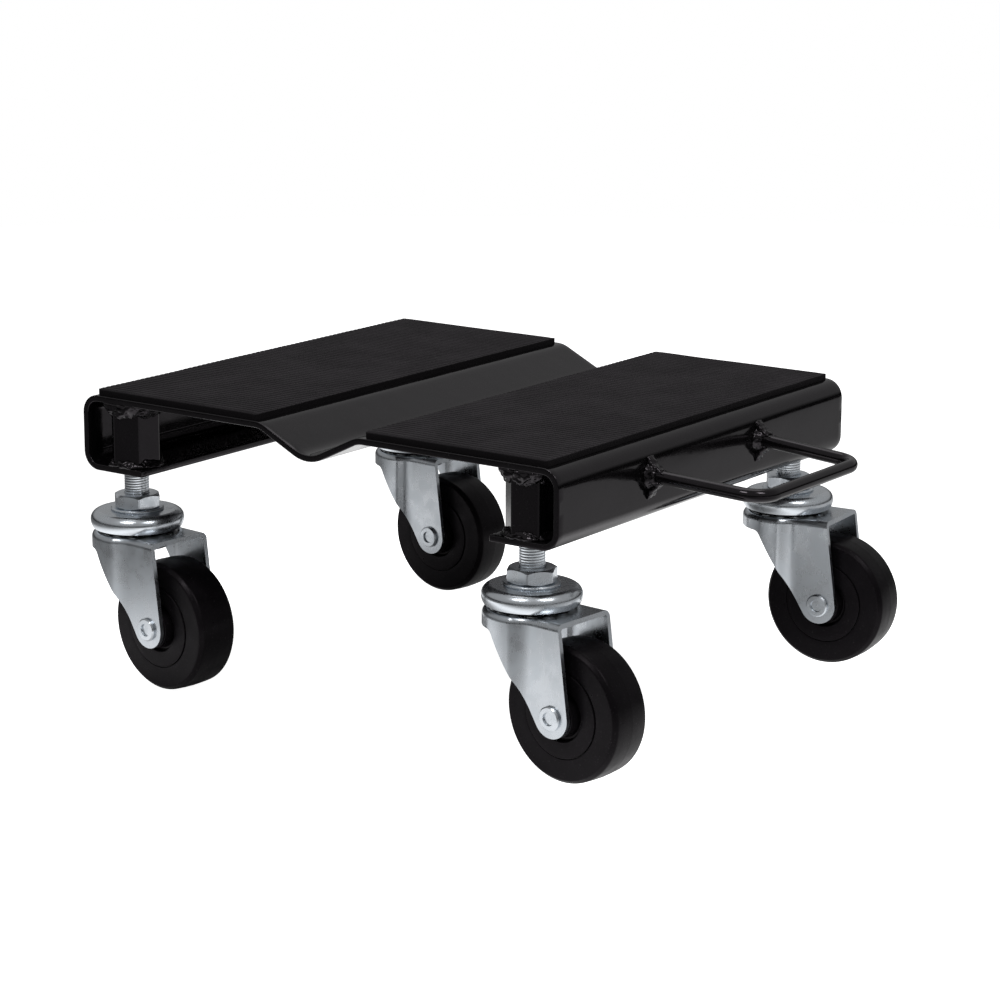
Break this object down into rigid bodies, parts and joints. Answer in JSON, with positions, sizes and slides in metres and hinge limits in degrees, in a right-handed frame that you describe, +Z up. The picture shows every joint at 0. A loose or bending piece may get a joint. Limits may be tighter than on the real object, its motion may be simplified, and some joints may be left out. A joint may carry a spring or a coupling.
{
  "type": "wheel dolly",
  "caption": "Low dolly on swivel casters: bent-sheet deck with a V-groove, ribbed rubber pads on its flats and a bent-rod tow handle.",
  "frame": {"origin": "middle of the whole footprint, on the floor that the wheels stand on", "axes": "+Z up, +X across the groove towards the tow handle, Y along the groove"},
  "size_m": [0.3402, 0.2694, 0.1439],
  "materials": {
    "black_coat": "gloss black powder coat over steel",
    "pad_rubber": "fine-ribbed matte black rubber",
    "zinc_plate": "bright zinc-plated pressed steel",
    "bearing_steel": "polished bearing balls",
    "wheel_tread": "satin black moulded hard polymer"
  },
  "bodies": {
    "deck": {"deck_plate": "black_coat", "pad_left": "pad_rubber", "pad_right": "pad_rubber", "tow_handle": "black_coat", "handle_welds": "black_coat", "post_welds": "black_coat", "near_right_post": "black_coat", "near_right_jam_nut": "zinc_plate", "near_right_washer": "zinc_plate", "near_right_stem": "zinc_plate", "near_right_top_race": "zinc_plate", "near_right_lower_race": "zinc_plate", "near_left_post": "black_coat", "near_left_jam_nut": "zinc_plate", "near_left_washer": "zinc_plate", "near_left_stem": "zinc_plate", "near_left_top_race": "zinc_plate", "near_left_lower_race": "zinc_plate", "far_right_post": "black_coat", "far_right_jam_nut": "zinc_plate", "far_right_washer": "zinc_plate", "far_right_stem": "zinc_plate", "far_right_top_race": "zinc_plate", "far_right_lower_race": "zinc_plate", "far_left_post": "black_coat", "far_left_jam_nut": "zinc_plate", "far_left_washer": "zinc_plate", "far_left_stem": "zinc_plate", "far_left_top_race": "zinc_plate", "far_left_lower_race": "zinc_plate"},
    "near_right_swivel_fork": {"near_right_fork": "zinc_plate", "near_right_upper_balls": "bearing_steel", "near_right_lower_balls": "bearing_steel", "near_right_axle": "zinc_plate", "near_right_bushing": "zinc_plate"},
    "near_right_rolling_wheel": {"near_right_wheel": "wheel_tread"},
    "near_left_swivel_fork": {"near_left_fork": "zinc_plate", "near_left_upper_balls": "bearing_steel", "near_left_lower_balls": "bearing_steel", "near_left_axle": "zinc_plate", "near_left_bushing": "zinc_plate"},
    "near_left_rolling_wheel": {"near_left_wheel": "wheel_tread"},
    "far_right_swivel_fork": {"far_right_fork": "zinc_plate", "far_right_upper_balls": "bearing_steel", "far_right_lower_balls": "bearing_steel", "far_right_axle": "zinc_plate", "far_right_bushing": "zinc_plate"},
    "far_right_rolling_wheel": {"far_right_wheel": "wheel_tread"},
    "far_left_swivel_fork": {"far_left_fork": "zinc_plate", "far_left_upper_balls": "bearing_steel", "far_left_lower_balls": "bearing_steel", "far_left_axle": "zinc_plate", "far_left_bushing": "zinc_plate"},
    "far_left_rolling_wheel": {"far_left_wheel": "wheel_tread"}
  },
  "joints": [
    {"name": "near_right_swivel", "type": "hinge", "parent": "deck", "child": "near_right_swivel_fork", "pos_m": [0.08757, -0.11196, 0.0745], "axis": [0, 0, 1], "continuous": true},
    {"name": "near_right_wheel_spin", "type": "hinge", "parent": "near_right_swivel_fork", "child": "near_right_rolling_wheel", "pos_m": [0.11345, -0.11445, 0.03175], "axis": [0.0958, 0.9954, 0], "continuous": true},
    {"name": "near_left_swivel", "type": "hinge", "parent": "deck", "child": "near_left_swivel_fork", "pos_m": [-0.14743, -0.11196, 0.0745], "axis": [0, 0, 1], "continuous": true},
    {"name": "near_left_wheel_spin", "type": "hinge", "parent": "near_left_swivel_fork", "child": "near_left_rolling_wheel", "pos_m": [-0.1216, -0.1149, 0.03175], "axis": [0.1132, 0.9936, 0], "continuous": true},
    {"name": "far_right_swivel", "type": "hinge", "parent": "deck", "child": "far_right_swivel_fork", "pos_m": [0.08757, 0.11204, 0.0745], "axis": [0, 0, 1], "continuous": true},
    {"name": "far_right_wheel_spin", "type": "hinge", "parent": "far_right_swivel_fork", "child": "far_right_rolling_wheel", "pos_m": [0.11349, 0.11408, 0.03175], "axis": [-0.0785, 0.9969, 0], "continuous": true},
    {"name": "far_left_swivel", "type": "hinge", "parent": "deck", "child": "far_left_swivel_fork", "pos_m": [-0.14743, 0.11204, 0.0745], "axis": [0, 0, 1], "continuous": true},
    {"name": "far_left_wheel_spin", "type": "hinge", "parent": "far_left_swivel_fork", "child": "far_left_rolling_wheel", "pos_m": [-0.12153, 0.10978, 0.03175], "axis": [0.0872, 0.9962, 0], "continuous": true}
  ]
}
